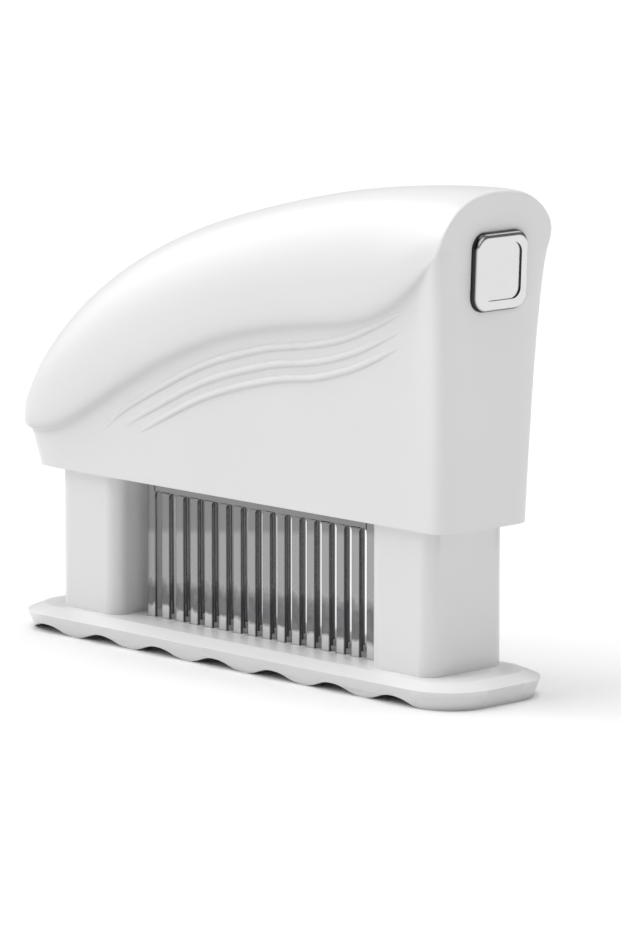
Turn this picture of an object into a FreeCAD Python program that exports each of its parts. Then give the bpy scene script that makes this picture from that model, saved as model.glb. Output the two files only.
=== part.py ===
"""Blade meat tenderizer: a press-down handle with three blade combs on a sprung, slotted foot.

Frame: X runs along the handle, with the tall end at +X. Y runs across it, with the front at -Y.
Z is up. The origin is the middle of the foot, on the surface that it stands on. Millimetres.
At rest the springs hold the handle up. Pressing it slides everything in the handle group down.
"""
import FreeCAD
import Part
import Sketcher
import math
import os

Vector = FreeCAD.Vector
Rotation = FreeCAD.Rotation
Placement = FreeCAD.Placement

# Driving sizes, in millimetres and degrees. Each one is a cell of the sheet.
SIZES = {
    # foot plate
    "foot_length": 151.8,
    "foot_width": 37.0,
    "foot_corner": 12.5,
    "rim_height": 4.4,
    "skirt_lean": 1.6,
    "skirt_wall": 1.7,
    "deck_height": 6.0,
    "deck_thick": 2.4,
    "bevel_width": 4.0,
    "wave_pitch": 19.85,
    "wave_depth": 2.0,
    "wave_count": 7.0,
    "wave_start": -72.75,
    # blade combs
    "blade_pitch": 5.0,
    "blade_count": 16.0,
    "blade_width": 2.65,
    "blade_thick": 0.8,
    "row_spacing": 5.5,
    "tip_height": 2.2,
    "tip_bevel": 2.6,
    "slot_top": 36.5,
    "comb_top": 58.5,
    "blade_clearance": 0.25,
    # columns
    "column_spread": 106.6,
    "column_length": 20.2,
    "column_width": 24.6,
    "column_corner": 3.4,
    "column_wall": 2.0,
    "column_floor": 3.0,
    "column_high": 50.0,
    "column_low": 39.4,
    "column_chamfer": 7.0,
    "column_taper": 15.5,
    "hook_reach": 1.0,
    "hook_tall": 1.6,
    "hook_width": 8.0,
    "hook_gap": 0.2,
    "column_gap": 0.3,
    "boss_across": 5.0,
    "boss_up": 8.0,
    "boss_x": 5.1,
    "boss_y": 6.9,
    "spigot_across": 8.0,
    "spigot_long": 2.0,
    # springs and their rods
    "spring_across": 9.7,
    "wire_across": 1.1,
    "coil_turns": 9.0,
    "washer_across": 10.4,
    "washer_bore": 5.0,
    "washer_thick": 0.6,
    "spring_top": 62.0,
    "rod_across": 6.2,
    "rod_foot": 38.0,
    "collar_across": 10.4,
    "collar_thick": 2.0,
    "spigot_rod": 5.0,
    "rod_head": 8.0,
    # handle
    "handle_tip": -76.1,
    "end_foot": 69.9,
    "end_lean": 3.2,
    "mouth_height": 40.0,
    "crest_height": 118.0,
    "mouth_half": 14.4,
    "waist_half": 14.8,
    "grip_half": 17.1,
    "end_corner": 6.5,
    "end_edge": 1.4,
    "end_flare": 3.6,
    "nose_rise": 10.0,
    "cover_wall": 1.6,
    "socket_across": 9.0,
    "post_across": 6.4,
    "shelf_thick": 2.0,
    "shelf_rise": 1.5,
    "shelf_width": 18.0,
    "flute_across": 2.0,
    "flute_proud": 0.75,
    # blade holder
    "holder_gap": 0.6,
    "holder_rise": 2.0,
    "holder_top": 62.0,
    "channel_side": 0.1,
    "channel_end": 0.4,
    "pin_across": 3.0,
    "pin_height": 51.5,
    "pin_spread": 30.0,
    "screw_spread": 40.0,
    "screw_across": 2.9,
    "screw_head": 4.8,
    "head_tall": 2.0,
    "screw_slack": 0.3,
    "screw_grip": 6.0,
    "screw_bite": 9.0,
    # end badge
    "badge_width": 17.2,
    "badge_tall": 18.2,
    "badge_thick": 1.6,
    "badge_corner": 3.8,
    "badge_edge": 1.3,
    "badge_drop": 18.6,
    "badge_rim": 2.6,
    "badge_dish": 0.4,
    "badge_pin": 2.4,
    "badge_pin_long": 1.2,
    "badge_pin_slack": 0.1,
}

# Sections that shape the handle, from the nose at the left to the tall end.
# Each row holds: place along the handle, height of the crest, height of the crease under the
# grip, share of the full breadth, and how far the mouth is drawn in. Heights and places are
# fractions of the handle's rise and length, so the shape follows those sizes.
HANDLE_SECTIONS = (
    (0.000, 0.170, 0.125, 0.00, 5.4),
    (0.000, 0.200, 0.125, 0.52, 5.4),
    (0.010, 0.264, 0.116, 0.86, 4.6),
    (0.046, 0.408, 0.106, 0.98, 1.5),
    (0.112, 0.540, 0.122, 1.00, 0.0),
    (0.210, 0.664, 0.226, 1.00, 0.0),
    (0.343, 0.780, 0.372, 1.00, 0.0),
    (0.508, 0.872, 0.496, 1.00, 0.0),
    (0.673, 0.943, 0.552, 1.00, 0.0),
    (0.780, 0.972, 0.572, 1.00, 0.0),
    (0.860, 0.987, 0.618, 1.00, 0.0),
    (0.925, 0.997, 0.705, 1.00, 0.0),
)
# The three sections that turn the corner into the flat end: crest, crease and how much of the
# end's flare the waist takes up.
END_SECTIONS = (
    (1.000, 0.775, 0.6),
    (0.996, 0.800, 1.0),
    (0.996, 0.800, 1.0),
)

# The line of the uppermost flute, as fractions of the handle's length and rise, and for each
# of the three flutes how far it lies below that line and where it starts.
FLUTE_LINE = (
    (0.201, 0.123),
    (0.253, 0.208),
    (0.349, 0.306),
    (0.442, 0.388),
    (0.535, 0.445),
    (0.626, 0.485),
    (0.701, 0.505),
    (0.791, 0.553),
    (0.893, 0.640),
)
FLUTES = (
    (0.0, 0.201),
    (4.0, 0.250),
    (7.6, 0.284),
)
FLUTE_STOP = 0.893
FLUTE_STEPS = 12
FLUTE_ROOT = 0.05

# How the front half of a cross-section runs from the mouth up to the crest. Each neck row says
# how far a control point is from mouth to waist, its share of the end's flare, and its height
# between mouth and crease. Each grip row says the share of the grip's half-width and the height
# between crease and crest, where the close pair makes the crisp lip. At the tall end the grip
# rows turn into the end rows, which are rounder.
NECK_POLES = (
    (0.00, 0.00, 0.00),
    (0.35, 0.15, 0.40),
    (1.00, 0.45, 0.78),
    (1.00, 1.00, 1.00),
)
GRIP_POLES = (
    (0.99, 0.02),
    (1.01, 0.16),
    (1.00, 0.52),
    (0.55, 1.00),
    (0.00, 1.00),
)
END_POLES = (
    (1.00, 0.16),
    (1.00, 0.37),
    (0.86, 0.70),
    (0.46, 1.00),
    (0.00, 1.00),
)
# The part of the end's flare that the grip takes up too.
GRIP_FLARE = 0.33
# Control points from this one on belong to the rounded top of a cross-section.
SHOULDER = 7

# Small fixed fits and overlaps, in millimetres.
OVERLAP = 1.0
SPIGOT_SLACK = 0.1
HEAD_SLACK = 0.1
SHANK_UNDER = 0.1
HEAD_SINK = 0.5


class Dim:
    """A size that carries its number together with the sheet expression that gives it."""

    def __init__(self, number, text):
        self.number = float(number)
        self.text = text

    def __float__(self):
        return self.number

    def __add__(self, other):
        return Dim(self.number + float(other), "(%s + %s)" % (self.text, words(other)))

    __radd__ = __add__

    def __sub__(self, other):
        return Dim(self.number - float(other), "(%s - %s)" % (self.text, words(other)))

    def __rsub__(self, other):
        return Dim(float(other) - self.number, "(%s - %s)" % (words(other), self.text))

    def __mul__(self, other):
        return Dim(self.number * float(other), "(%s * %s)" % (self.text, words(other)))

    __rmul__ = __mul__

    def __truediv__(self, other):
        return Dim(self.number / float(other), "(%s / %s)" % (self.text, words(other)))

    def __neg__(self):
        return Dim(-self.number, "(-%s)" % self.text)


def words(value):
    """The expression text of a Dim or of a plain number."""
    return value.text if isinstance(value, Dim) else repr(float(value))


class Sizes:
    """The sheet's cells by name, as Dims."""


doc = FreeCAD.newDocument("tenderizer")
sheet = doc.addObject("Spreadsheet::Sheet", "sizes")
size = Sizes()
for row, (alias, number) in enumerate(SIZES.items(), 1):
    sheet.set("A%d" % row, alias.replace("_", " "))
    sheet.set("B%d" % row, str(number))
    sheet.setAlias("B%d" % row, alias)
    setattr(size, alias, Dim(number, "sizes." + alias))
doc.recompute()

# Places that follow from the sizes.
COLUMN_X = size.column_spread / 2
DECK = size.deck_height
WELL = DECK + size.column_floor
SHELF_TOP = size.mouth_height + size.shelf_rise + size.shelf_thick
HOOK_FOOT = SHELF_TOP + size.hook_gap
COMB_HALF = (size.blade_count - 1) * size.blade_pitch / 2 + size.blade_width / 2
HOLDER_FOOT = size.mouth_height + size.holder_rise
HOLDER_HALF = COLUMN_X - size.column_length / 2 - size.hook_reach - size.column_gap
INNER_HALF = size.mouth_half - size.cover_wall
PACK_HALF = size.row_spacing + size.blade_thick / 2
SCREW_Y = (PACK_HALF + size.channel_side + INNER_HALF - size.holder_gap) / 2
BADGE_HEIGHT = size.crest_height - size.badge_drop
BADGE_PIN_Z = size.badge_tall / 4
END_TILT = math.degrees(math.atan2(SIZES["end_lean"], SIZES["crest_height"] - SIZES["mouth_height"]))


def bind(thing, name, value):
    """Tie a property of an object to the sheet."""
    thing.setExpression(name, words(value))


def new_body(label):
    body = doc.addObject("PartDesign::Body", label)
    body.Label = label
    return body


def place(thing, x, y, z, turn=None):
    """Put a piece where the sizes say, with an optional turn."""
    thing.Placement = Placement(Vector(float(x), float(y), float(z)), turn or Rotation())
    for axis, value in (("x", x), ("y", y), ("z", z)):
        bind(thing, ".Placement.Base." + axis, value)


def new_sketch(body, name, role, offset=0.0):
    """A sketch on one of the body's own origin planes, moved off it along its normal."""
    sketch = body.newObject("Sketcher::SketchObject", body.Name + "_" + name)
    plane = [item for item in body.Origin.OriginFeatures if item.Role == role][0]
    sketch.AttachmentSupport = [(plane, "")]
    sketch.MapMode = "FlatFace"
    sketch.AttachmentOffset = Placement(Vector(0, 0, float(offset)), Rotation())
    bind(sketch, ".AttachmentOffset.Base.z", offset)
    return sketch


def hold(sketch, kind, geo, point, value):
    """Pin one coordinate of a sketch point to a size."""
    if not isinstance(value, Dim) and float(value) == 0.0:
        axis = -2 if kind == "DistanceX" else -1
        sketch.addConstraint(Sketcher.Constraint("PointOnObject", geo, point, axis))
        return
    spot = sketch.addConstraint(Sketcher.Constraint(kind, -1, 1, geo, point, float(value)))
    sketch.setExpression("Constraints[%d]" % spot, words(value))


def pin_point(sketch, geo, point, x, y):
    hold(sketch, "DistanceX", geo, point, x)
    hold(sketch, "DistanceY", geo, point, y)


def draw_outline(sketch, points):
    """A closed outline of straight lines through the given corners."""
    first = sketch.GeometryCount
    count = len(points)
    spots = [Vector(float(x), float(y), 0) for x, y in points]
    for number in range(count):
        sketch.addGeometry(Part.LineSegment(spots[number], spots[(number + 1) % count]))
    for number in range(count):
        after = first + (number + 1) % count
        sketch.addConstraint(Sketcher.Constraint("Coincident", first + number, 2, after, 1))
        pin_point(sketch, first + number, 1, *points[number])


def draw_box(sketch, x0, x1, y0, y1):
    draw_outline(sketch, ((x0, y0), (x1, y0), (x1, y1), (x0, y1)))


def draw_circle(sketch, x, y, radius):
    geo = sketch.addGeometry(Part.Circle(Vector(float(x), float(y), 0), Vector(0, 0, 1), float(radius)))
    pin_point(sketch, geo, 3, x, y)
    spot = sketch.addConstraint(Sketcher.Constraint("Radius", geo, float(radius)))
    sketch.setExpression("Constraints[%d]" % spot, words(radius))


def draw_rounded(sketch, x0, x1, y0, y1, radius):
    """A rectangle with four equal round corners: sides 0 to 3, then corners 4 to 7."""
    left, right, low, high, r = (float(value) for value in (x0, x1, y0, y1, radius))
    first = sketch.GeometryCount
    sides = (
        ((left + r, low), (right - r, low)),
        ((right, low + r), (right, high - r)),
        ((right - r, high), (left + r, high)),
        ((left, high - r), (left, low + r)),
    )
    for start, end in sides:
        sketch.addGeometry(Part.LineSegment(Vector(*start, 0), Vector(*end, 0)))
    centres = ((right - r, low + r), (right - r, high - r), (left + r, high - r), (left + r, low + r))
    for number, centre in enumerate(centres):
        circle = Part.Circle(Vector(*centre, 0), Vector(0, 0, 1), r)
        start = (number - 1) * math.pi / 2
        sketch.addGeometry(Part.ArcOfCircle(circle, start, start + math.pi / 2))
    for number in range(4):
        side = first + number
        corner = first + 4 + number
        sketch.addConstraint(Sketcher.Constraint("Tangent", side, 2, corner, 1))
        sketch.addConstraint(Sketcher.Constraint("Tangent", corner, 2, first + (number + 1) % 4, 1))
        if number:
            sketch.addConstraint(Sketcher.Constraint("Equal", first + 4, corner))
    for number, kind in enumerate(("Horizontal", "Vertical", "Horizontal", "Vertical")):
        sketch.addConstraint(Sketcher.Constraint(kind, first + number))
    hold(sketch, "DistanceY", first, 1, y0)
    hold(sketch, "DistanceX", first + 1, 1, x1)
    hold(sketch, "DistanceY", first + 2, 1, y1)
    hold(sketch, "DistanceX", first + 3, 1, x0)
    spot = sketch.addConstraint(Sketcher.Constraint("Radius", first + 4, r))
    sketch.setExpression("Constraints[%d]" % spot, words(radius))


def volume_of(body):
    doc.recompute()
    return body.Shape.Volume


def pad(body, sketch, length, reverse=False, both=False):
    """Grow the body from a sketch, and make sure that it did grow."""
    before = body.Shape.Volume if body.Tip else 0.0
    feature = body.newObject("PartDesign::Pad", sketch.Name + "_pad")
    feature.Profile = sketch
    feature.Reversed = reverse
    feature.SideType = "Symmetric" if both else "One side"
    bind(feature, "Length", length)
    sketch.Visibility = False
    if not volume_of(body) > before + 1e-6:
        raise RuntimeError("nothing was added by " + feature.Name)
    return feature


def pocket(body, sketch, length=None, reverse=False, both=False):
    """Cut a sketch into the body, right through where no length is given."""
    before = volume_of(body)
    feature = body.newObject("PartDesign::Pocket", sketch.Name + "_pocket")
    feature.Profile = sketch
    feature.Reversed = reverse
    feature.SideType = "Symmetric" if both else "One side"
    if length is None:
        feature.Type = "ThroughAll"
    else:
        bind(feature, "Length", length)
    sketch.Visibility = False
    if not volume_of(body) < before - 1e-6:
        raise RuntimeError("nothing was cut by " + feature.Name)
    return feature


def repeat(body, feature, axis, count, pitch):
    """Repeat a feature along one of the body's origin axes."""
    pattern = body.newObject("PartDesign::LinearPattern", feature.Name + "_row")
    pattern.Originals = [feature]
    line = [item for item in body.Origin.OriginFeatures if item.Role == axis][0]
    pattern.Direction = (line, [""])
    pattern.Mode = "Spacing"
    bind(pattern, "Offset", pitch)
    bind(pattern, "Occurrences", count)
    body.Tip = pattern
    doc.recompute()
    return pattern


def revolve(body, sketch, axis="Z_Axis"):
    feature = body.newObject("PartDesign::Revolution", sketch.Name + "_turned")
    feature.Profile = sketch
    line = [item for item in body.Origin.OriginFeatures if item.Role == axis][0]
    feature.ReferenceAxis = (line, [""])
    feature.Angle = 360
    sketch.Visibility = False
    doc.recompute()
    return feature


def cylinder(name, across, length, x, y, z, turn=None):
    item = doc.addObject("Part::Cylinder", name)
    bind(item, "Radius", across / 2)
    bind(item, "Height", length)
    place(item, x, y, z, turn)
    return item


def box(name, x0, x1, y0, y1, z0, z1):
    item = doc.addObject("Part::Box", name)
    bind(item, "Length", x1 - x0)
    bind(item, "Width", y1 - y0)
    bind(item, "Height", z1 - z0)
    place(item, x0, y0, z0)
    return item


def joined(name, items):
    item = doc.addObject("Part::MultiFuse", name)
    item.Shapes = items
    return item


def cut(name, base, tool):
    item = doc.addObject("Part::Cut", name)
    item.Base = base
    item.Tool = tool
    return item


def make_foot_plate():
    """The slotted foot: a hollow tray with a leaning skirt, a bevelled rim and a wavy lower edge."""
    body = new_body("foot_plate")
    half_x = size.foot_length / 2
    half_y = size.foot_width / 2
    lean = size.skirt_lean
    outlines = (
        ("toe", 0.0, lean),
        ("rim", size.rim_height, 0.0),
        ("deck", DECK, size.bevel_width),
    )
    rings = []
    for name, height, inset in outlines:
        ring = new_sketch(body, name, "XY_Plane", height)
        x = half_x - inset
        y = half_y - inset
        draw_rounded(ring, -x, x, -y, y, size.foot_corner - inset)
        rings.append(ring)
    doc.recompute()
    tray = body.newObject("PartDesign::AdditiveLoft", "foot_plate_tray")
    tray.Profile = rings[0]
    tray.Sections = rings[1:]
    tray.Ruled = True
    doc.recompute()

    hollow = new_sketch(body, "hollow", "XY_Plane", 0.0)
    inset = lean + size.skirt_wall
    x = half_x - inset
    y = half_y - inset
    draw_rounded(hollow, -x, x, -y, y, size.foot_corner - inset)
    pocket(body, hollow, DECK - size.deck_thick, reverse=True)

    windows = new_sketch(body, "windows", "XY_Plane", DECK)
    slot_x = size.blade_width / 2 + size.blade_clearance
    slot_y = size.blade_thick / 2 + size.blade_clearance
    first_x = -(size.blade_count - 1) * size.blade_pitch / 2
    for row_y in (-size.row_spacing, 0.0, size.row_spacing):
        draw_box(windows, first_x - slot_x, first_x + slot_x, row_y - slot_y, row_y + slot_y)
    first_windows = pocket(body, windows, size.deck_thick)
    repeat(body, first_windows, "X_Axis", size.blade_count, size.blade_pitch)

    holes = new_sketch(body, "holes", "XY_Plane", DECK)
    for side in (-1, 1):
        draw_circle(holes, COLUMN_X * side, 0.0, size.spigot_across / 2 + SPIGOT_SLACK)
        for corner in (-1, 1):
            hole_x = COLUMN_X * side + size.boss_x * corner
            draw_circle(holes, hole_x, size.boss_y * corner, size.screw_across / 2 + size.screw_slack)
    pocket(body, holes, size.deck_thick)

    waves = new_sketch(body, "waves", "XZ_Plane", 0.0)
    draw_waves(waves)
    pocket(body, waves, both=True)
    return body


def draw_waves(sketch):
    """The scalloped edge: tangent arcs that rise between lobes, over a straight lower line."""
    half = float(size.wave_pitch) / 2
    depth = float(size.wave_depth)
    radius = (half * half + depth * depth) / (4 * depth)
    sweep = math.asin(half / 2 / radius)
    start = float(size.wave_start)
    up = math.pi / 2
    count = int(float(size.wave_count))
    below = -1.0
    for number in range(count):
        lobe = start + number * 2 * half
        rise = Part.Circle(Vector(lobe, radius, 0), Vector(0, 0, 1), radius)
        sketch.addGeometry(Part.ArcOfCircle(rise, -up, -up + sweep))
        crown = Part.Circle(Vector(lobe + half, depth - radius, 0), Vector(0, 0, 1), radius)
        sketch.addGeometry(Part.ArcOfCircle(crown, up - sweep, up + sweep))
        fall = Part.Circle(Vector(lobe + 2 * half, radius, 0), Vector(0, 0, 1), radius)
        sketch.addGeometry(Part.ArcOfCircle(fall, -up - sweep, -up))
    end = start + count * 2 * half
    corners = (Vector(end, 0, 0), Vector(end, below, 0), Vector(start, below, 0), Vector(start, 0, 0))
    for number in range(3):
        sketch.addGeometry(Part.LineSegment(corners[number], corners[number + 1]))


def make_column(label, side):
    """A hollow guide column. Its own +X side faces the blades; it is turned round at the right."""
    body = new_body(label)
    half_x = size.column_length / 2
    half_y = size.column_width / 2
    post = new_sketch(body, "post", "XY_Plane", 0.0)
    draw_rounded(post, -half_x, half_x, -half_y, half_y, size.column_corner)
    pad(body, post, size.column_high)

    well = new_sketch(body, "well", "XY_Plane", size.column_floor)
    in_x = half_x - size.column_wall
    in_y = half_y - size.column_wall
    draw_rounded(well, -in_x, in_x, -in_y, in_y, size.column_corner - size.column_wall)
    pocket(body, well, size.column_high, reverse=True)

    bosses = new_sketch(body, "bosses", "XY_Plane", 0.0)
    for corner in (-1, 1):
        draw_circle(bosses, size.boss_x * corner, size.boss_y * corner, size.boss_across / 2)
    pad(body, bosses, size.column_floor + size.boss_up)

    spigot = new_sketch(body, "spigot", "XY_Plane", 0.0)
    draw_circle(spigot, 0.0, 0.0, size.spigot_across / 2)
    pad(body, spigot, size.spigot_long, reverse=True)

    slope = new_sketch(body, "slope", "XZ_Plane", 0.0)
    over = size.column_high + 1.0
    top = size.column_high
    draw_outline(slope, ((-half_x - 1.0, size.column_low), (-half_x, size.column_low),
                         (half_x, top), (half_x, over), (-half_x - 1.0, over)))
    pocket(body, slope, both=True)

    shoulders = new_sketch(body, "shoulders", "YZ_Plane", 0.0)
    trim = size.column_chamfer
    start = top - size.column_taper
    for hand in (-1, 1):
        outer = (half_y + OVERLAP) * hand
        draw_outline(shoulders, (((half_y - trim) * hand, over), (outer, over), (outer, start),
                                 (half_y * hand, start)))
    pocket(body, shoulders, both=True)

    hooks = new_sketch(body, "hooks", "XZ_Plane", 0.0)
    foot = HOOK_FOOT - DECK
    for hand in (-1, 1):
        face = half_x * hand
        tip = (half_x + size.hook_reach) * hand
        draw_outline(hooks, ((face - 1.0 * hand, foot), (tip, foot), (tip, foot + size.hook_tall / 2),
                             (face, foot + size.hook_tall), (face - 1.0 * hand, foot + size.hook_tall)))
    pad(body, hooks, size.hook_width, both=True)

    pilots = new_sketch(body, "pilots", "XY_Plane", 0.0)
    for corner in (-1, 1):
        draw_circle(pilots, size.boss_x * corner, size.boss_y * corner, size.screw_across / 2)
    pocket(body, pilots, size.screw_bite - size.deck_thick, reverse=True)
    turn = Rotation(Vector(0, 0, 1), 0 if side < 0 else 180)
    place(body, COLUMN_X * side, 0.0, DECK, turn)
    return body


def make_washer(label, side):
    """The flat seat that keeps the spring off the moulded floor of the column."""
    body = new_body(label)
    ring = new_sketch(body, "ring", "XY_Plane", 0.0)
    draw_circle(ring, 0.0, 0.0, size.washer_across / 2)
    draw_circle(ring, 0.0, 0.0, size.washer_bore / 2)
    pad(body, ring, size.washer_thick)
    place(body, COLUMN_X * side, 0.0, WELL)
    return body


def make_spring(label, side):
    """A compression spring with closed ends, swept along its own helix."""
    wire = float(size.wire_across) / 2
    mean = (float(size.spring_across) - float(size.wire_across)) / 2
    foot = float(WELL + size.washer_thick)
    length = float(size.spring_top) - foot
    turns = float(size.coil_turns)
    closed = float(size.wire_across) * 1.04
    body_rise = length - 2 * wire - 2 * closed
    pitch = body_rise / (turns - 2)
    coils = []
    height = wire
    for step, rise in ((closed, closed), (pitch, body_rise), (closed, closed)):
        helix = Part.makeHelix(step, rise, mean)
        helix.translate(Vector(0, 0, height))
        coils.append(helix)
        height += rise
    edges = [edge for coil in coils for edge in coil.Edges]
    path = Part.Wire(Part.__sortEdges__(edges))
    ring = Part.Wire(Part.makeCircle(wire, Vector(mean, 0, wire), Vector(0, 1, 0)))
    spring = doc.addObject("Part::Feature", label)
    spring.Label = label
    spring.Shape = path.makePipeShell([ring], True, True)
    spring.Placement = Placement(Vector(float(COLUMN_X) * side, 0, foot), Rotation())
    return spring


def make_rod(label, side):
    """The turned rod that carries the spring's upper end and keeps the coil straight."""
    body = new_body(label)
    outline = new_sketch(body, "outline", "XZ_Plane", 0.0)
    stem = size.rod_across / 2
    collar = size.collar_across / 2
    spigot = size.spigot_rod / 2
    foot = size.rod_foot - size.spring_top
    nose = 1.0
    draw_outline(outline, (
        (0.0, foot), (stem - nose, foot), (stem, foot + nose), (stem, 0.0), (collar, 0.0),
        (collar, size.collar_thick), (spigot, size.collar_thick),
        (spigot, size.collar_thick + size.rod_head), (0.0, size.collar_thick + size.rod_head)))
    revolve(body, outline)
    place(body, COLUMN_X * side, 0.0, size.spring_top)
    return body


def make_comb(label, row):
    """One row of blades: a stamped plate with round-topped slots and a ground edge."""
    body = new_body(label)
    half_thick = size.blade_thick / 2
    plate = new_sketch(body, "plate", "XZ_Plane", 0.0)
    draw_box(plate, -COMB_HALF, COMB_HALF, size.tip_height, size.comb_top)
    pad(body, plate, size.blade_thick, both=True)

    bevel = new_sketch(body, "bevel", "YZ_Plane", 0.0)
    low = size.tip_height
    draw_outline(bevel, ((half_thick, low - 1.0), (half_thick, low + size.tip_bevel),
                         (-half_thick, low), (-half_thick, low - 1.0)))
    pocket(body, bevel, both=True)

    slot = new_sketch(body, "slot", "XZ_Plane", 0.0)
    gap = (size.blade_pitch - size.blade_width) / 2
    middle = -(size.blade_count - 2) * size.blade_pitch / 2
    draw_slot(slot, middle - gap, middle + gap, low - 1.0, size.slot_top - gap)
    first = pocket(body, slot, both=True)
    repeat(body, first, "X_Axis", size.blade_count - 1, size.blade_pitch)

    holes = new_sketch(body, "holes", "XZ_Plane", 0.0)
    for place_x in (-size.pin_spread, 0.0, size.pin_spread):
        draw_circle(holes, place_x, size.pin_height, size.pin_across / 2)
    pocket(body, holes, both=True)
    place(body, 0.0, size.row_spacing * row, 0.0)
    return body


def draw_slot(sketch, x0, x1, low, high):
    """A slot with an open foot and a half-round top."""
    left, right, foot, top = (float(value) for value in (x0, x1, low, high))
    radius = (right - left) / 2
    circle = Part.Circle(Vector(left + radius, top, 0), Vector(0, 0, 1), radius)
    sketch.addGeometry(Part.LineSegment(Vector(left, foot, 0), Vector(right, foot, 0)))
    sketch.addGeometry(Part.LineSegment(Vector(right, foot, 0), Vector(right, top, 0)))
    sketch.addGeometry(Part.ArcOfCircle(circle, 0, math.pi))
    sketch.addGeometry(Part.LineSegment(Vector(left, top, 0), Vector(left, foot, 0)))
    for number in range(4):
        after = (number + 1) % 4
        sketch.addConstraint(Sketcher.Constraint("Coincident", number, 2, after, 1))
    pin_point(sketch, 0, 1, x0, low)
    pin_point(sketch, 1, 1, x1, low)
    pin_point(sketch, 1, 2, x1, high)
    pin_point(sketch, 3, 1, x0, high)
    sketch.addConstraint(Sketcher.Constraint("Horizontal", 2, 3, 1, 2))


def make_spacer(label, side):
    """The bar that keeps two blade rows apart."""
    body = new_body(label)
    thick = size.row_spacing - size.blade_thick
    bar = new_sketch(body, "bar", "XZ_Plane", 0.0)
    draw_box(bar, -COMB_HALF, COMB_HALF, HOLDER_FOOT + 1.0, size.comb_top)
    pad(body, bar, thick, both=True)
    holes = new_sketch(body, "holes", "XZ_Plane", 0.0)
    for place_x in (-size.pin_spread, 0.0, size.pin_spread):
        draw_circle(holes, place_x, size.pin_height, size.pin_across / 2)
    pocket(body, holes, both=True)
    place(body, 0.0, size.row_spacing / 2 * side, 0.0)
    return body


def make_holder():
    """The carrier that grips the blade pack and is screwed up into the cover."""
    body = new_body("blade_holder")
    half_y = INNER_HALF - size.holder_gap
    block = new_sketch(body, "block", "XY_Plane", HOLDER_FOOT)
    draw_rounded(block, -HOLDER_HALF, HOLDER_HALF, -half_y, half_y, 1.2)
    pad(body, block, size.holder_top - HOLDER_FOOT)

    channel = new_sketch(body, "channel", "XY_Plane", HOLDER_FOOT)
    end = COMB_HALF + size.channel_end
    side = PACK_HALF + size.channel_side
    draw_box(channel, -end, end, -side, side)
    pocket(body, channel, size.comb_top - HOLDER_FOOT, reverse=True)

    ledge = new_sketch(body, "ledge", "XZ_Plane", 0.0)
    reach = COLUMN_X - size.column_length / 2 - size.column_gap
    for hand in (-1, 1):
        draw_outline(ledge, (((HOLDER_HALF - 1.0) * hand, HOLDER_FOOT), (reach * hand, HOLDER_FOOT),
                             (reach * hand, SHELF_TOP), ((HOLDER_HALF - 1.0) * hand, SHELF_TOP)))
    pad(body, ledge, size.hook_width + 2.0, both=True)

    pins = new_sketch(body, "pins", "XZ_Plane", 0.0)
    for place_x in (-size.pin_spread, 0.0, size.pin_spread):
        draw_circle(pins, place_x, size.pin_height, size.pin_across / 2)
    pocket(body, pins, both=True)

    for name, across, start, depth in (
            ("heads", size.screw_head + HEAD_SLACK * 2, HOLDER_FOOT,
             size.holder_top - size.screw_grip - HOLDER_FOOT),
            ("shanks", size.screw_across + size.screw_slack, HOLDER_FOOT, size.holder_top - HOLDER_FOOT)):
        bores = new_sketch(body, name, "XY_Plane", start)
        for x_side in (-1, 1):
            for y_side in (-1, 1):
                draw_circle(bores, size.screw_spread / 2 * x_side, SCREW_Y * y_side, across / 2)
        pocket(body, bores, depth, reverse=True)
    return body


def make_pins():
    """Three cross pins that hold the blade pack in the holder."""
    length = (INNER_HALF - size.holder_gap) * 2
    turn = Rotation(Vector(1, 0, 0), -90)
    pins = []
    for number, place_x in enumerate((-size.pin_spread, size.pin_spread * 0, size.pin_spread), 1):
        pins.append(cylinder("blade_pin_%d" % number, size.pin_across, length,
                             place_x, -length / 2, size.pin_height, turn))
    group = doc.addObject("Part::Compound", "blade_pins")
    group.Label = "blade_pins"
    group.Links = pins
    return group


def make_screws(label, spots, seat, grip, bite):
    """Self-tapping screws that point up: a round head under the seat and a shank above it."""
    screws = []
    across = size.screw_across - SHANK_UNDER * 2
    for number, (x, y) in enumerate(spots, 1):
        name = "%s_%d" % (label, number)
        head = cylinder(name + "_head", size.screw_head, size.head_tall, x, y, seat - size.head_tall)
        shank = cylinder(name + "_shank", across, grip + bite, x, y, seat - HEAD_SINK)
        screws.append(joined(name, [head, shank]))
    group = doc.addObject("Part::Compound", label)
    group.Label = label
    group.Links = screws
    return group


def section_poles(crest, crease, flare, inset, mouth):
    """Control points of the front half of one cross-section, from the mouth up to the crest."""
    mouth_half = float(size.mouth_half) - inset
    waist = float(size.waist_half) - inset
    spread = float(size.end_flare) * flare
    grip = float(size.grip_half) - inset + GRIP_FLARE * spread
    fold = crease + inset
    top = crest - inset
    poles = []
    for out, flared, up in NECK_POLES:
        y = mouth_half + out * (waist - mouth_half) + flared * spread
        poles.append((y, mouth + up * (fold - mouth)))
    for (share, up), (end_share, end_up) in zip(GRIP_POLES, END_POLES):
        y = grip * (share + (end_share - share) * flare)
        level = up + (end_up - up) * flare
        poles.append((y, fold + level * (top - fold)))
    return poles


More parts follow.
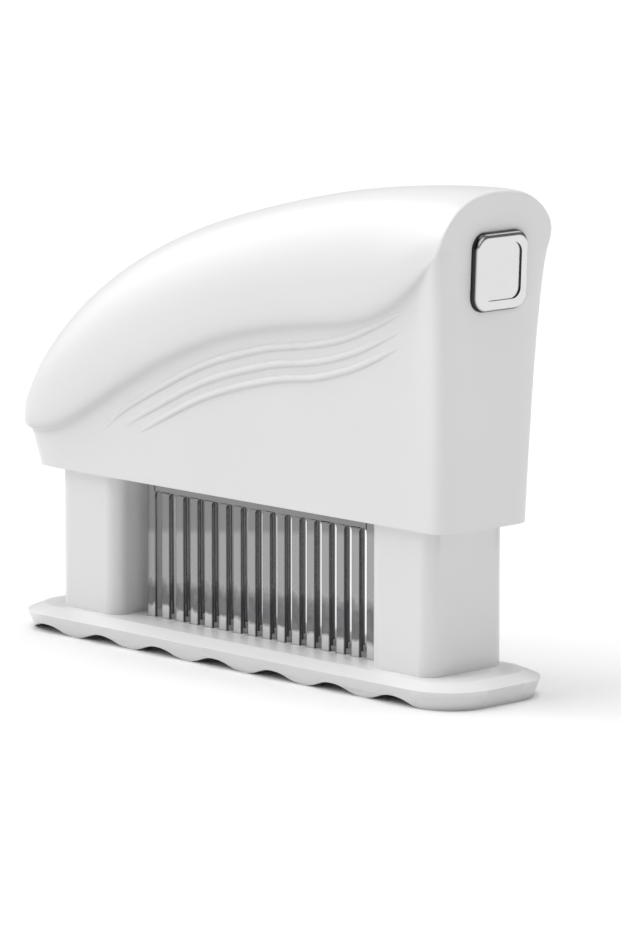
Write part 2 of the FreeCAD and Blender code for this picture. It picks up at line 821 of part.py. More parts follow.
def handle_grid(inset, mouth):
    """Rows of control points for the front half of the handle's skin, from nose to end."""
    tip = float(size.handle_tip) + inset
    foot = float(size.end_foot) - inset
    bottom = float(size.mouth_height)
    rise = float(size.crest_height) - bottom
    lean = float(size.end_lean) / rise
    grid = []
    for along, crest, crease, breadth, drawn_in in HANDLE_SECTIONS:
        x = max(tip, handle_x(along))
        poles = section_poles(bottom + crest * rise, bottom + crease * rise, 0.0, inset, mouth)
        row = []
        for y, z in poles:
            level = min(1.0, max(0.0, (z - bottom) / float(size.nose_rise)))
            row.append(Vector(x + drawn_in * (1 - level), -y * breadth, z))
        grid.append(row)
    corner = float(size.end_corner) - inset
    edge = max(0.5, float(size.end_edge) - inset)
    corners = [corner] * len(NECK_POLES) + [(corner + edge) / 2] + [edge] * (len(GRIP_POLES) - 1)
    for stage, (crest, crease, flare) in enumerate(END_SECTIONS):
        poles = section_poles(bottom + crest * rise, bottom + crease * rise, flare, inset, mouth)
        row = []
        for number, ((y, z), radius) in enumerate(zip(poles, corners)):
            if stage == 2:
                z -= radius if number >= SHOULDER else 0.0
                y = max(0.0, y - radius)
            setback = radius if stage == 0 else 0.0
            row.append(Vector(foot + (z - bottom) * lean - setback, -y, z))
        grid.append(row)
    return grid


def handle_x(along):
    """The place along X of a fraction of the handle's length."""
    end = float(size.end_foot) + float(size.end_lean)
    return float(size.handle_tip) + along * (end - float(size.handle_tip))


def open_knots(count, degree):
    """Clamped uniform knots and their multiplicities for a row of control points."""
    spans = count - degree
    return [float(n) for n in range(spans + 1)], [degree + 1] + [1] * (spans - 1) + [degree + 1]


def skin_surface(grid):
    """The smooth surface that a grid of control points shapes."""
    degree = 3
    knots_u, mults_u = open_knots(len(grid), degree)
    knots_v, mults_v = open_knots(len(grid[0]), degree)
    surface = Part.BSplineSurface()
    surface.buildFromPolesMultsKnots(grid, mults_u, mults_v, knots_u, knots_v,
                                     False, False, degree, degree)
    return surface


def skin_solid(grid):
    """Close a half skin with flat faces at the mouth, the end and the middle, and mirror it."""
    surface = skin_surface(grid)
    u0, u1, v0, v1 = surface.bounds()
    mouth = surface.vIso(v0).toShape()
    crest = surface.vIso(v1).toShape()
    nose = surface.uIso(u0).toShape()
    end = surface.uIso(u1).toShape()
    low_left = surface.value(u0, v0)
    low_right = surface.value(u1, v0)
    keel = Vector(low_right.x, 0, low_right.z)
    across = Part.makeLine(low_right, keel)
    upright = Part.makeLine(keel, surface.value(u1, v1))
    along = Part.makeLine(low_left, keel)
    faces = [surface.toShape()]
    for edges in ((mouth, across, along), (end, upright, across), (crest, nose, along, upright)):
        faces.append(Part.Face(Part.Wire(Part.__sortEdges__(list(edges)))))
    shell = Part.makeShell(faces)
    shell.sewShape()
    half = Part.makeSolid(shell if shell.ShapeType == "Shell" else shell.Shells[0])
    if half.Volume < 0:
        half.reverse()
    return half.fuse(half.mirror(Vector(0, 0, 0), Vector(0, 1, 0))).removeSplitter()


def smooth_at(table, along):
    """A smooth line through (place, value) pairs, read at one place."""
    last = len(table) - 1
    number = 0
    while number < last - 1 and along > table[number + 1][0]:
        number += 1
    x0, y0 = table[number]
    x1, y1 = table[number + 1]
    slopes = []
    for spot in (number, number + 1):
        before = table[max(0, spot - 1)]
        after = table[min(last, spot + 1)]
        slopes.append((after[1] - before[1]) / (after[0] - before[0]))
    t = (along - x0) / (x1 - x0)
    span = x1 - x0
    blend = t * t * (3 - 2 * t)
    start = span * slopes[0] * t * (1 - t) ** 2
    finish = span * slopes[1] * t * t * (t - 1)
    return y0 + (y1 - y0) * blend + start + finish


def make_flute(name, surface, drop, start, side):
    """One raised flute: a round bead laid along the skin that sinks into it at both ends."""
    bottom = float(size.mouth_height)
    rise = float(size.crest_height) - bottom
    bead_radius = float(size.flute_across) / 2
    points = []
    for number in range(FLUTE_STEPS + 1):
        along = start + (FLUTE_STOP - start) * number / FLUTE_STEPS
        x = handle_x(along)
        z = bottom + smooth_at(FLUTE_LINE, along) * rise - drop
        ray = Part.Line(Vector(x, 0, z), Vector(x, -1, z))
        hit = ray.intersectCS(surface)[0][0]
        taper = math.sin(math.pi * number / FLUTE_STEPS) ** 0.5
        depth = bead_radius + FLUTE_ROOT - float(size.flute_proud) * taper
        points.append(Vector(x, (abs(hit.Y) - depth) * side, z))
    curve = Part.BSplineCurve()
    curve.interpolate(points)
    path = Part.Wire(curve.toShape())
    ring = Part.Wire(Part.makeCircle(bead_radius, points[0], curve.tangent(curve.FirstParameter)[0]))
    bead = doc.addObject("Part::Feature", name)
    bead.Shape = path.makePipeShell([ring], True, True)
    return bead


def make_cover():
    """The one-piece moulded handle: a curved shell with posts, spring sockets and stop shelves."""
    outer = doc.addObject("Part::Feature", "cover_skin")
    grid = handle_grid(0.0, float(size.mouth_height))
    outer.Shape = skin_solid(grid)
    inner = doc.addObject("Part::Feature", "cover_room")
    inner.Shape = skin_solid(handle_grid(float(size.cover_wall), float(size.mouth_height) - 1.0))

    far = size.crest_height
    posts = []
    for x_side in (-1, 1):
        for y_side in (-1, 1):
            posts.append(cylinder("cover_post_%d" % (len(posts) + 1), size.post_across,
                                  far - size.holder_top, size.screw_spread / 2 * x_side,
                                  SCREW_Y * y_side, size.holder_top))
    collar_top = size.spring_top + size.collar_thick
    for side in (-1, 1):
        posts.append(cylinder("cover_socket_%d" % (side + 2), size.socket_across, far - collar_top,
                              COLUMN_X * side, 0.0, collar_top))
    shelf_start = COLUMN_X + size.column_length / 2 + size.column_gap
    shelf_low = size.mouth_height + size.shelf_rise
    half = size.shelf_width / 2
    posts.append(box("cover_shelf_right", shelf_start, size.end_foot, -half, half, shelf_low, SHELF_TOP))
    posts.append(box("cover_shelf_left", size.handle_tip, -shelf_start, -half, half, shelf_low, SHELF_TOP))
    room = cut("cover_hollow", inner, joined("cover_fittings", posts))
    shell = cut("cover_shell", outer, room)

    flutes = []
    for side in (-1, 1):
        for drop, start in FLUTES:
            name = "cover_flute_%d" % (len(flutes) + 1)
            flutes.append(make_flute(name, skin_surface(grid), drop, start, side))
    fluted = joined("cover_fluted", [shell] + flutes)

    bores = []
    for x_side in (-1, 1):
        for y_side in (-1, 1):
            bores.append(cylinder("cover_pilot_%d" % (len(bores) + 1), size.screw_across,
                                  size.screw_bite + 1.0, size.screw_spread / 2 * x_side,
                                  SCREW_Y * y_side, size.holder_top))
    for side in (-1, 1):
        bores.append(cylinder("cover_bore_%d" % (side + 2), size.spigot_rod, size.rod_head,
                              COLUMN_X * side, 0.0, collar_top))
    for side in (-1, 1):
        bores.append(badge_pin_bore("cover_badge_bore_%d" % (side + 2), side))
    cover = cut("cover", fluted, joined("cover_bores", bores))
    cover.Label = "cover"
    return cover


def end_face_x(height):
    """Where the tall end's flat face is at a height."""
    rise = size.crest_height - size.mouth_height
    return size.end_foot + (height - size.mouth_height) * size.end_lean / rise


def badge_turn():
    """Turns a piece drawn face up so that it faces out of the tall end, square to its lean."""
    return Rotation(Vector(0, 1, 0), 90 + END_TILT) * Rotation(Vector(0, 0, 1), 90)


def badge_pin_bore(name, side):
    """The tool for a bore that takes one of the badge's locating pins."""
    height = BADGE_HEIGHT + BADGE_PIN_Z * side
    depth = size.badge_pin_long + size.badge_pin_slack
    turn = Rotation(Vector(0, 1, 0), 90 + END_TILT)
    across = size.badge_pin + size.badge_pin_slack * 2
    return cylinder(name, across, depth + OVERLAP, end_face_x(height) - depth, 0.0, height, turn)


def make_badge():
    """The plated trim on the tall end: a pillow with a bare dished face and two locating pins."""
    body = new_body("end_badge")
    half_x = size.badge_width / 2
    half_y = size.badge_tall / 2
    pillow = new_sketch(body, "pillow", "XY_Plane", 0.0)
    draw_rounded(pillow, -half_x, half_x, -half_y, half_y, size.badge_corner)
    front = pad(body, pillow, size.badge_thick)
    rounding = body.newObject("PartDesign::Fillet", "badge_rounding")
    rounding.Base = (front, ["Face%d" % (1 + face_index(front.Shape, size.badge_thick))])
    bind(rounding, "Radius", size.badge_edge)
    doc.recompute()

    dish = new_sketch(body, "dish", "XY_Plane", size.badge_thick)
    x = half_x - size.badge_rim
    y = half_y - size.badge_rim
    draw_rounded(dish, -x, x, -y, y, size.badge_corner - size.badge_rim / 2)
    pocket(body, dish, size.badge_dish)

    pins = new_sketch(body, "pins", "XY_Plane", 0.0)
    for hand in (-1, 1):
        draw_circle(pins, 0.0, BADGE_PIN_Z * hand, size.badge_pin / 2)
    pad(body, pins, size.badge_pin_long, reverse=True)
    place(body, end_face_x(BADGE_HEIGHT), 0.0, BADGE_HEIGHT, badge_turn())
    return body


def face_index(shape, height):
    """The number of the flat face at a height."""
    for number, face in enumerate(shape.Faces):
        box_of = face.BoundBox
        if abs(box_of.ZMin - float(height)) < 1e-6 and abs(box_of.ZMax - float(height)) < 1e-6:
            return number
    raise RuntimeError("no flat face at that height")


parts = [
    make_foot_plate(),
    make_column("left_column", -1),
    make_column("right_column", 1),
    make_washer("left_spring_washer", -1),
    make_washer("right_spring_washer", 1),
    make_spring("left_spring", -1),
    make_spring("right_spring", 1),
    make_rod("left_spring_rod", -1),
    make_rod("right_spring_rod", 1),
    make_comb("front_blade_comb", -1),
    make_comb("middle_blade_comb", 0),
    make_comb("rear_blade_comb", 1),
    make_spacer("front_spacer", -1),
    make_spacer("rear_spacer", 1),
    make_holder(),
    make_pins(),
    make_cover(),
    make_badge(),
]
holder_spots = [(size.screw_spread / 2 * a, SCREW_Y * b) for a in (-1, 1) for b in (-1, 1)]
parts.append(make_screws("holder_screws", holder_spots, size.holder_top - size.screw_grip,
                         size.screw_grip, size.screw_bite))
column_spots = [(COLUMN_X * a + size.boss_x * b, size.boss_y * b) for a in (-1, 1) for b in (-1, 1)]
parts.append(make_screws("column_screws", column_spots, DECK - size.deck_thick,
                         size.deck_thick, size.screw_bite - size.deck_thick - 1.0))
doc.recompute()

problems = []
for thing in doc.Objects:
    if "Invalid" in thing.State or "Error" in thing.State:
        problems.append("%s: %s" % (thing.Name, thing.State))
for piece in parts:
    if piece.Shape.isNull() or not piece.Shape.isValid():
        problems.append("%s: no valid shape" % piece.Label)
if problems:
    raise RuntimeError("; ".join(problems))

os.makedirs("parts", exist_ok=True)
for piece in parts:
    piece.Shape.exportStep("parts/%s.step" % piece.Label)
    bounds = piece.Shape.BoundBox
    print("%-20s solids %d  volume %8.1f  X %.1f %.1f  Y %.1f %.1f  Z %.1f %.1f" % (
        piece.Label, len(piece.Shape.Solids), piece.Shape.Volume, bounds.XMin, bounds.XMax,
        bounds.YMin, bounds.YMax, bounds.ZMin, bounds.ZMax))
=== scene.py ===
# %% [markdown]
# # A blade meat tenderizer, dressed for the studio
#
# The tool is a white moulded hand grip over two sprung columns, with three stamped steel combs
# between them and a slotted foot with a wavy skirt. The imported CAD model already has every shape
# at its real size, so this script adds what CAD leaves out: edge softness, finishes, a camera
# and light.

import math

import bpy
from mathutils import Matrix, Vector


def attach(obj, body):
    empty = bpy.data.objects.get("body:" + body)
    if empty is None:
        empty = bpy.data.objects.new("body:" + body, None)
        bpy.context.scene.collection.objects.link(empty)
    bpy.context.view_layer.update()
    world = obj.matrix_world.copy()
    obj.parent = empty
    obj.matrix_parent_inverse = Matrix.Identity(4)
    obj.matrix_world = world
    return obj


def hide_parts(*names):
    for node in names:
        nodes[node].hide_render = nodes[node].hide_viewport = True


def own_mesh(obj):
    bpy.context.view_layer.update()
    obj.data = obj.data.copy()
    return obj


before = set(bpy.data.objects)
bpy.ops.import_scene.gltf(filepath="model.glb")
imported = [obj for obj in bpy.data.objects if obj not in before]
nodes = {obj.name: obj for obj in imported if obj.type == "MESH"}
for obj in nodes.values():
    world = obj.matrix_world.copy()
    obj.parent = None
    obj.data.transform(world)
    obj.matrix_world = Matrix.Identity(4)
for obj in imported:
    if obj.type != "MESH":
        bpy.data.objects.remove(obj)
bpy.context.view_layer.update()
MM = 0.001

# %% [markdown]
# ## Camera
#
# The photograph was taken from the front right, a little above the tool, with a long lens: the
# upright edges stay nearly parallel. The angles, distance and lens below were worked out from
# the blades, the rims and the upright edges. The frame is 621 by 931, so the long side is the
# height, and Blender measures the 36 mm sensor along it.

# %% Camera
PHOTO_LONG_SIDE = 931
FOCAL_PIXELS = 6081.7
SENSOR_MM = 36.0
AZIMUTH = math.radians(46.2)
ELEVATION = math.radians(9.38)
DISTANCE = 1.4212
AIM = Vector((0.01143, 0.0, 0.04767))

back = Vector((
    math.sin(AZIMUTH) * math.cos(ELEVATION),
    -math.cos(AZIMUTH) * math.cos(ELEVATION),
    math.sin(ELEVATION),
))
camera_data = bpy.data.cameras.new("studio_camera")
camera_data.sensor_width = SENSOR_MM
camera_data.lens = FOCAL_PIXELS * SENSOR_MM / PHOTO_LONG_SIDE
camera_data.clip_start = 0.05
camera_data.clip_end = 50.0
camera = bpy.data.objects.new("studio_camera", camera_data)
camera.location = AIM + back * DISTANCE
camera.rotation_mode = "QUATERNION"
camera.rotation_quaternion = (-back).to_track_quat("-Z", "Y")
bpy.context.scene.collection.objects.link(camera)
bpy.context.scene.camera = camera
print("lens %.1f mm, %.2f m away" % (camera_data.lens, DISTANCE))

# %% [markdown]
# ## Colours and nodes
#
# Colours are written as sRGB hex, the way a swatch gives them, and one function turns them into
# the linear values that Blender shades with. One more small function adds a shader node, with
# its settings and its links, which keeps every material below short enough to read.

# %% Colour and node helpers
def linear(hex_code):
    """An sRGB hex colour as linear red, green, blue and alpha."""
    out = []
    for start in (0, 2, 4):
        value = int(hex_code[start:start + 2], 16) / 255
        out.append(value / 12.92 if value <= 0.04045 else ((value + 0.055) / 1.055) ** 2.4)
    return (*out, 1.0)


def add_node(tree, kind, settings, links=()):
    """Add a node, set its properties and sockets, and link what feeds it.

    A socket goes by its name, or by its place where several share one name.
    """
    node = tree.nodes.new(kind)
    for name, value in settings.items():
        if isinstance(name, int) or name in node.inputs:
            node.inputs[name].default_value = value
        else:
            setattr(node, name, value)
    for name, source in dict(links).items():
        tree.links.new(source, node.inputs[name])
    return node


def new_material(name):
    """An empty material with its output, ready for a shader."""
    material = bpy.data.materials.new(name)
    material.use_nodes = True
    material.node_tree.nodes.clear()
    output = add_node(material.node_tree, "ShaderNodeOutputMaterial", {})
    return material, material.node_tree, output


def per_metre(size_mm):
    """The scale of a pattern whose features are this many millimetres across."""
    return 1.0 / (size_mm * MM)


print("white ABS in linear light:", [round(v, 3) for v in linear("F4F4F4")])

# %% [markdown]
# ## White ABS
#
# The grip, the columns and the foot are injection-moulded ABS. Fresh white ABS is a bright,
# neutral white with a soft satin gloss, because the mould's steel is blasted rather than
# polished. Two things keep it from looking like paint: the blasted texture, about 0.1 mm
# across, and the slow unevenness of a wall that shrank as it cooled, tens of millimetres across.
# The texture is drawn at 0.35 mm, because 0.1 mm would be too fine to show. Both go in as bump,
# and the gloss varies a little with the texture.
#
# Faces that look down get painted shade, a darker colour that stands in for the shade under
# things. The grip and the foot have their own colour for it, and the other ABS parts take their
# deeper tone. It goes by the surface's own direction, so it stays in place from any side. It
# also helps the fold under the grip and the flutes to read in light as soft as this.

# %% White ABS, satin and polished
ABS_IOR = 1.53
SHRINK_MM = 38.0
# painted shade on faces that look down: it starts below normal Z LEVEL and is full at FACING_DOWN
LEVEL, FACING_DOWN = 0.02, -0.60


def abs_moulded(name, shade, deep_shade, roughness, texture_mm, texture_depth_mm,
                underside_painted_shade=None):
    """Injection-moulded ABS: mould texture, slow cooling marks and painted shade on down faces."""
    material, tree, output = new_material(name)
    place = add_node(tree, "ShaderNodeTexCoord", {})
    slow = add_node(tree, "ShaderNodeTexNoise", {"Scale": per_metre(SHRINK_MM), "Detail": 2.0},
                    {"Vector": place.outputs["Object"]})
    fine = add_node(tree, "ShaderNodeTexNoise", {"Scale": per_metre(texture_mm), "Detail": 1.0},
                    {"Vector": place.outputs["Object"]})
    tint = add_node(tree, "ShaderNodeMix",
                    {"data_type": "RGBA", "A": linear(deep_shade), "B": linear(shade)},
                    {"Factor": slow.outputs["Fac"]})
    # painted shade: faces that look down are mixed towards the underside colour, or the deep tone
    surface = add_node(tree, "ShaderNodeNewGeometry", {})
    facing = add_node(tree, "ShaderNodeSeparateXYZ", {}, {"Vector": surface.outputs["Normal"]})
    down = add_node(tree, "ShaderNodeMapRange", {"From Min": LEVEL, "From Max": FACING_DOWN},
                    {"Value": facing.outputs["Z"]})
    colour = add_node(tree, "ShaderNodeMix",
                      {"data_type": "RGBA", "B": linear(underside_painted_shade or deep_shade)},
                      {"Factor": down.outputs["Result"], "A": tint.outputs["Result"]})
    gloss = add_node(tree, "ShaderNodeMapRange",
                     {"To Min": roughness - 0.04, "To Max": roughness + 0.04},
                     {"Value": fine.outputs["Fac"]})
    flow = add_node(tree, "ShaderNodeBump", {"Strength": 0.25, "Distance": 0.05 * MM},
                    {"Height": slow.outputs["Fac"]})
    grain = add_node(tree, "ShaderNodeBump", {"Strength": 0.5, "Distance": texture_depth_mm * MM},
                     {"Height": fine.outputs["Fac"], "Normal": flow.outputs["Normal"]})
    shader = add_node(tree, "ShaderNodeBsdfPrincipled",
                      {"IOR": ABS_IOR, "Metallic": 0.0},
                      {"Base Color": colour.outputs["Result"],
                       "Roughness": gloss.outputs["Result"], "Normal": grain.outputs["Normal"]})
    tree.links.new(shader.outputs["BSDF"], output.inputs["Surface"])
    return material


# the last colour of the grip and the foot is painted shade for faces that look down
abs_grip = abs_moulded("abs_grip_satin_moulded", "F4F4F4", "F0F0F0", 0.36, 0.35, 0.005, "D6D6D6")
abs_foot = abs_moulded("abs_foot_satin_moulded", "FAFAFA", "F7F7F7", 0.34, 0.35, 0.005, "D8D8D8")
abs_column = abs_moulded("abs_column_gloss_moulded", "F2F2F2", "EEEEEE", 0.30, 0.50, 0.002)
abs_inner = abs_moulded("abs_inner_plain_moulded", "E6E6E3", "DEDEDB", 0.48, 0.60, 0.015)
print("made four ABS finishes")

# %% [markdown]
# ## Blade steel
#
# The blades are stamped from thin stainless strip and then ground towards their tips. From the
# top down each comb shows five tones: a darker band at the top, which is painted shade for the
# shade under the cover; the rolled strip; the ground zone, which is darker and blotchy; the
# bright cutting ends; and in the slots the sheared edges, which the punch left dull and which are
# darkened further as painted shade for the deep slots. The lines between the zones slant along
# the row, and the grind steps a little from blade to blade. The rolling lines run up and down,
# about 0.05 mm apart, drawn here at 0.3 mm so that they show.

# %% Blade steel
BLADE_PITCH = 5.0
ROLLING_MM = 0.3
BLOTCH_MM = 2.4
STEEL = {
    # painted shade: the darker band at the top of each comb, for the shade under the cover
    "painted_shade_top": "878788",
    "rolled": "A0A0A0",
    "ground_deep": "66666A",
    "ground_pale": "979798",
    "tips": "DDDDDC",
    # dull sheared edges, darkened further as painted shade for the deep slots
    "sheared_edge_and_painted_shade": "7C7C7D",
}
ZONES = {
    # zone: height at mid row in mm, rise along the row, blade-by-blade slant, blotch, softness
    # painted shade band at the top, its edge slanting along the row
    "painted_shade_top": (31.3, 0.121, 0.0, 0.4, 0.8),
    "ground": (19.5, 0.057, 0.45, 4.5, 1.6),
    "tips": (10.9, 0.010, 0.0, 3.0, 0.5),
}


def ground_stainless(name):
    """Rolled stainless strip, ground and cutting zones, dull sheared edges; painted shade at top
    and slots.
    """
    material, tree, output = new_material(name)
    place = add_node(tree, "ShaderNodeTexCoord", {})
    long_lines = add_node(tree, "ShaderNodeMapping", {"Scale": (1.0, 1.0, 0.02)},
                          {"Vector": place.outputs["Object"]})
    lines = add_node(tree, "ShaderNodeTexNoise", {"Scale": per_metre(ROLLING_MM), "Detail": 2.0},
                     {"Vector": long_lines.outputs["Vector"]})
    blotch = add_node(tree, "ShaderNodeTexNoise", {"Scale": per_metre(BLOTCH_MM), "Detail": 3.0},
                      {"Vector": place.outputs["Object"]})
    axes = add_node(tree, "ShaderNodeSeparateXYZ", {}, {"Vector": place.outputs["Object"]})
    across = add_node(tree, "ShaderNodeMath", {"operation": "WRAP", 1: BLADE_PITCH * MM, 2: 0.0},
                      {0: axes.outputs["X"]})
    amounts = {}
    for zone, (height, climb, step, patchy, soft) in ZONES.items():
        level = add_node(tree, "ShaderNodeVectorMath",
                         {"operation": "DOT_PRODUCT", 1: (-climb, 0.0, 1.0)},
                         {0: place.outputs["Object"]})
        stepped = add_node(tree, "ShaderNodeMath", {"operation": "MULTIPLY_ADD", 1: step},
                           {0: across.outputs["Value"], 2: level.outputs["Value"]})
        uneven = add_node(tree, "ShaderNodeMath", {"operation": "MULTIPLY_ADD", 1: patchy * MM},
                          {0: blotch.outputs["Fac"], 2: stepped.outputs["Value"]})
        ends = {"From Min": (height - soft) * MM, "From Max": (height + soft) * MM}
        reached = add_node(tree, "ShaderNodeMapRange", ends, {"Value": uneven.outputs["Value"]})
        amounts[zone] = reached.outputs["Result"]
    # slot walls, found by their X-facing normal: dull sheared edges plus painted shade in the slots
    surface = add_node(tree, "ShaderNodeNewGeometry", {})
    facing = add_node(tree, "ShaderNodeSeparateXYZ", {}, {"Vector": surface.outputs["True Normal"]})
    sheared_edge_and_painted_shade = add_node(tree, "ShaderNodeMath", {"operation": "ABSOLUTE"}, {0: facing.outputs["X"]})

    ground_tone = add_node(tree, "ShaderNodeMix",
                           {"data_type": "RGBA", "A": linear(STEEL["ground_deep"]),
                            "B": linear(STEEL["ground_pale"])},
                           {"Factor": blotch.outputs["Fac"]})
    low = add_node(tree, "ShaderNodeMix", {"data_type": "RGBA", "A": linear(STEEL["tips"])},
                   {"Factor": amounts["tips"], "B": ground_tone.outputs["Result"]})
    middle = add_node(tree, "ShaderNodeMix", {"data_type": "RGBA", "B": linear(STEEL["rolled"])},
                      {"Factor": amounts["ground"], "A": low.outputs["Result"]})
    # painted shade: the darker top band of each comb
    high = add_node(tree, "ShaderNodeMix", {"data_type": "RGBA", "B": linear(STEEL["painted_shade_top"])},
                    {"Factor": amounts["painted_shade_top"], "A": middle.outputs["Result"]})
    # slot walls: dull sheared edge colour darkened as painted shade
    tint = add_node(tree, "ShaderNodeMix", {"data_type": "RGBA", "B": linear(STEEL["sheared_edge_and_painted_shade"])},
                    {"Factor": sheared_edge_and_painted_shade.outputs["Value"], "A": high.outputs["Result"]})
    gloss = add_node(tree, "ShaderNodeMapRange", {"To Min": 0.46, "To Max": 0.24},
                     {"Value": amounts["ground"]})
    grain = add_node(tree, "ShaderNodeBump", {"Strength": 0.3, "Distance": 0.006 * MM},
                     {"Height": lines.outputs["Fac"]})
    shader = add_node(tree, "ShaderNodeBsdfPrincipled", {"Metallic": 1.0},
                      {"Base Color": tint.outputs["Result"], "Roughness": gloss.outputs["Result"],
                       "Normal": grain.outputs["Normal"]})
    tree.links.new(shader.outputs["BSDF"], output.inputs["Surface"])
    return material


blade_steel = ground_stainless("stainless_strip_stamped_and_ground")
print("blade zones:", ", ".join("%s at %.0f mm" % (zone, row[0]) for zone, row in ZONES.items()))

# %% [markdown]
# ## Small metal parts
#
# The springs are drawn spring wire, a dull grey with fine, faint unevenness. The screws and
# washers are zinc plated: brighter, bluish, with a cloudiness a few millimetres across. The pins
# are plain drawn rod. The badge is ABS plated with satin chrome, which has almost no texture, so
# what shows is its rounded edge. In a real room its side walls mirror darker things than this
# white studio has, so they get a dark shade, by the surface's own direction.

# %% Small metal finishes
WALL_STARTS, WALL_FULL = 0.86, 0.60


def plain_metal(name, shade, deep_shade, roughness, cloud_mm, depth_mm, wall_shade=None):
    """A metal with faint clouds of tint and gloss. Walls that turn away from +X may be darker."""
    material, tree, output = new_material(name)
    place = add_node(tree, "ShaderNodeTexCoord", {})
    cloud = add_node(tree, "ShaderNodeTexNoise", {"Scale": per_metre(cloud_mm), "Detail": 4.0},
                     {"Vector": place.outputs["Object"]})
    tint = add_node(tree, "ShaderNodeMix",
                    {"data_type": "RGBA", "A": linear(deep_shade), "B": linear(shade)},
                    {"Factor": cloud.outputs["Fac"]})
    gloss = add_node(tree, "ShaderNodeMapRange",
                     {"To Min": roughness - 0.05, "To Max": roughness + 0.05},
                     {"Value": cloud.outputs["Fac"]})
    skin = add_node(tree, "ShaderNodeBump", {"Strength": 0.3, "Distance": depth_mm * MM},
                    {"Height": cloud.outputs["Fac"]})
    colour = tint
    if wall_shade:
        surface = add_node(tree, "ShaderNodeNewGeometry", {})
        facing = add_node(tree, "ShaderNodeSeparateXYZ", {},
                          {"Vector": surface.outputs["Normal"]})
        wall = add_node(tree, "ShaderNodeMapRange",
                        {"From Min": WALL_STARTS, "From Max": WALL_FULL},
                        {"Value": facing.outputs["X"]})
        colour = add_node(tree, "ShaderNodeMix", {"data_type": "RGBA", "B": linear(wall_shade)},
                          {"Factor": wall.outputs["Result"], "A": tint.outputs["Result"]})
    shader = add_node(tree, "ShaderNodeBsdfPrincipled", {"Metallic": 1.0},
                      {"Base Color": colour.outputs["Result"],
                       "Roughness": gloss.outputs["Result"], "Normal": skin.outputs["Normal"]})
    tree.links.new(shader.outputs["BSDF"], output.inputs["Surface"])
    return material


spring_wire = plain_metal("spring_steel_drawn_wire", "A9A9AA", "8F8F91", 0.32, 0.4, 0.008)
zinc_plate = plain_metal("steel_zinc_plated", "C9CCD0", "B4B8BD", 0.30, 2.5, 0.006)
drawn_rod = plain_metal("steel_drawn_rod", "B8B8B8", "A6A6A6", 0.28, 0.8, 0.006)
satin_chrome = plain_metal("abs_chrome_plated_satin", "E2E2E2", "D8D8D9", 0.20, 6.0, 0.004,
                           wall_shade="3A3A3C")
acetal = abs_moulded("acetal_turned", "E9E9E4", "E2E2DD", 0.40, 0.40, 0.008)
print("made", len(bpy.data.materials), "materials")

# %% [markdown]
# ## Dress the CAD pieces
#
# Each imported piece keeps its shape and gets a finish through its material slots. Moulded and
# stamped edges are never knife sharp, so a small bevel goes on as a modifier: it leaves the CAD
# mesh alone, and the light catches the edges as it does on the real parts. The cover, the badge
# and the springs are round already, so they get none. Each row says the finish and the bevel in
# millimetres.

# %% Finishes and soft edges
SHARP_ANGLE = math.radians(40)
SAME_CORNER_MM = 0.001
FINISHES = {
    "foot_plate": (abs_foot, 0.35),
    "left_column": (abs_column, 0.25),
    "right_column": (abs_column, 0.25),
    "cover": (abs_grip, 0.0),
    "end_badge": (satin_chrome, 0.0),
    "blade_holder": (abs_inner, 0.2),
    "front_spacer": (abs_inner, 0.2),
    "rear_spacer": (abs_inner, 0.2),
    "front_blade_comb": (blade_steel, 0.22),
    "middle_blade_comb": (blade_steel, 0.22),
    "rear_blade_comb": (blade_steel, 0.22),
    "blade_pins": (drawn_rod, 0.1),
    "left_spring": (spring_wire, 0.0),
    "right_spring": (spring_wire, 0.0),
    "left_spring_washer": (zinc_plate, 0.0),
    "right_spring_washer": (zinc_plate, 0.0),
    "left_spring_rod": (acetal, 0.2),
    "right_spring_rod": (acetal, 0.2),
    "holder_screws": (zinc_plate, 0.15),
    "column_screws": (zinc_plate, 0.15),
}


def dress(name, finish, edge_mm):
    """Give a CAD piece its finish and, where its edges are sharp, a small bevel."""
    piece = nodes[name]
    piece.data.materials.clear()
    piece.data.materials.append(finish)
    if edge_mm:
        weld = piece.modifiers.new("join_split_corners", "WELD")
        weld.merge_threshold = SAME_CORNER_MM * MM
        bevel = piece.modifiers.new("soft_edges", "BEVEL")
        bevel.width = edge_mm * MM
        bevel.segments = 2
        bevel.limit_method = "ANGLE"
        bevel.angle_limit = SHARP_ANGLE
        bevel.harden_normals = False


for name, (finish, edge_mm) in FINISHES.items():
    dress(name, finish, edge_mm)
print("dressed", len(FINISHES), "pieces")

# %% [markdown]
# ## Studio
#
# A plain pale floor runs well past the frame, as a paper sweep does. The light is soft: a little
# comes from everywhere, and wide sources stand above, behind, at the left, high at the front left
# and, weaker, at the right. Nothing shines from where the camera stands, which is why the rounded
# upright corners that face it come out darker than the flat sides next to them. Wide sun lamps
# are used because they light the whole floor evenly, which keeps the background clean. A sun
# lights the same from any distance, so the distance below only keeps the lamps apart.

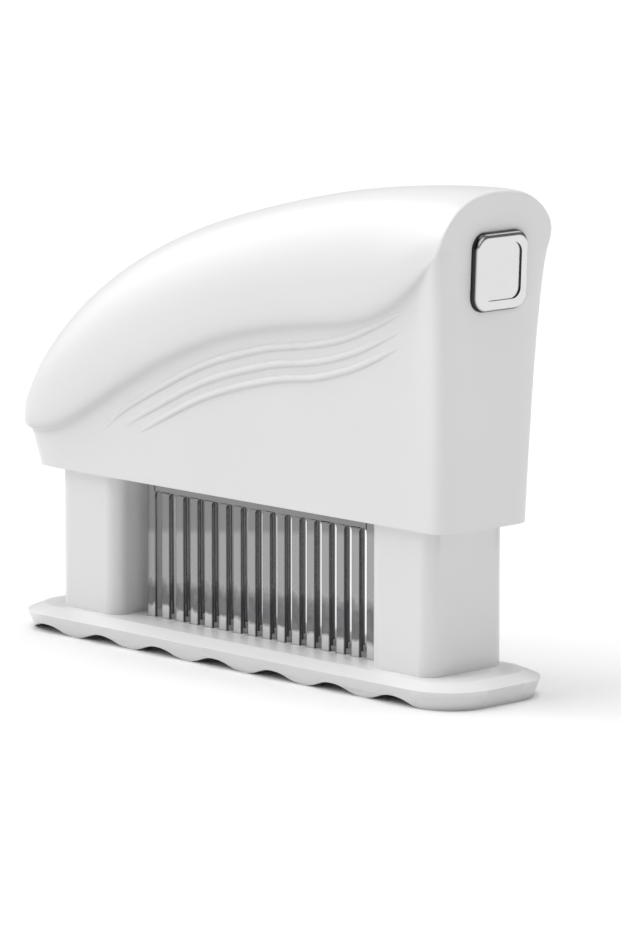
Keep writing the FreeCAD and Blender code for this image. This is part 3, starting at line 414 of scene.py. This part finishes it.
# %% Floor and light
FLOOR_SIZE = 16.0
LAMP_DISTANCE = 2.0
floor_mesh = bpy.data.meshes.new("studio_floor")
half = FLOOR_SIZE / 2
floor_mesh.from_pydata([(-half, -half, 0), (half, -half, 0), (half, half, 0), (-half, half, 0)],
                       [], [(0, 1, 2, 3)])
floor = bpy.data.objects.new("studio_floor", floor_mesh)
bpy.context.scene.collection.objects.link(floor)
paper, tree, output = new_material("paper_sweep")
place = add_node(tree, "ShaderNodeTexCoord", {})
fibre = add_node(tree, "ShaderNodeTexNoise", {"Scale": per_metre(1.5), "Detail": 3.0},
                 {"Vector": place.outputs["Object"]})
tone = add_node(tree, "ShaderNodeMix",
                {"data_type": "RGBA", "A": linear("FAFAFA"), "B": linear("FCFCFC")},
                {"Factor": fibre.outputs["Fac"]})
shader = add_node(tree, "ShaderNodeBsdfPrincipled", {"Roughness": 0.9, "Specular IOR Level": 0.2},
                  {"Base Color": tone.outputs["Result"]})
tree.links.new(shader.outputs["BSDF"], output.inputs["Surface"])
floor_mesh.materials.append(paper)

world = bpy.data.worlds.new("studio_air")
world.use_nodes = True
bpy.context.scene.world = world
air = world.node_tree.nodes["Background"]
air.inputs["Color"].default_value = (1.0, 1.0, 1.0, 1.0)
air.inputs["Strength"].default_value = 0.12

LAMPS = {
    # name: direction towards the lamp, strength, apparent size in degrees
    "left_side": ((-1.0, -0.20, 0.6), 0.92, 40),
    "left_front": ((-0.8, -0.90, 0.5), 0.22, 40),
    "front_high": ((-0.55, -0.70, 1.0), 0.75, 40),
    "right_end": ((1.0, -0.12, 0.8), 0.42, 50),
    "overhead": ((0.0, 0.0, 1.0), 1.30, 30),
    "behind": ((0.0, 0.80, 1.0), 0.60, 50),
}
for name, (direction, strength, spread) in LAMPS.items():
    lamp_data = bpy.data.lights.new(name, "SUN")
    lamp_data.energy = strength
    lamp_data.angle = math.radians(spread)
    lamp = bpy.data.objects.new(name, lamp_data)
    lamp.location = Vector(direction) * LAMP_DISTANCE
    lamp.rotation_mode = "QUATERNION"
    lamp.rotation_quaternion = (-Vector(direction)).to_track_quat("-Z", "Y")
    bpy.context.scene.collection.objects.link(lamp)
bpy.context.scene.view_settings.view_transform = "Standard"
print("lamps:", ", ".join(LAMPS))

# %% [markdown]
# ## Springs
#
# Pressing the grip shortens the springs from above while their feet stay on the washers. Each
# spring gets a stand-in with the CAD spring's own mesh, carried by the base, and the CAD spring
# itself is hidden.

# %% Springs
for name in ("left_spring", "right_spring"):
    coil = bpy.data.objects.new(name + "_coil", nodes[name].data.copy())
    bpy.context.scene.collection.objects.link(coil)
    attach(coil, "base")
    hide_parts(name)
    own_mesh(coil)
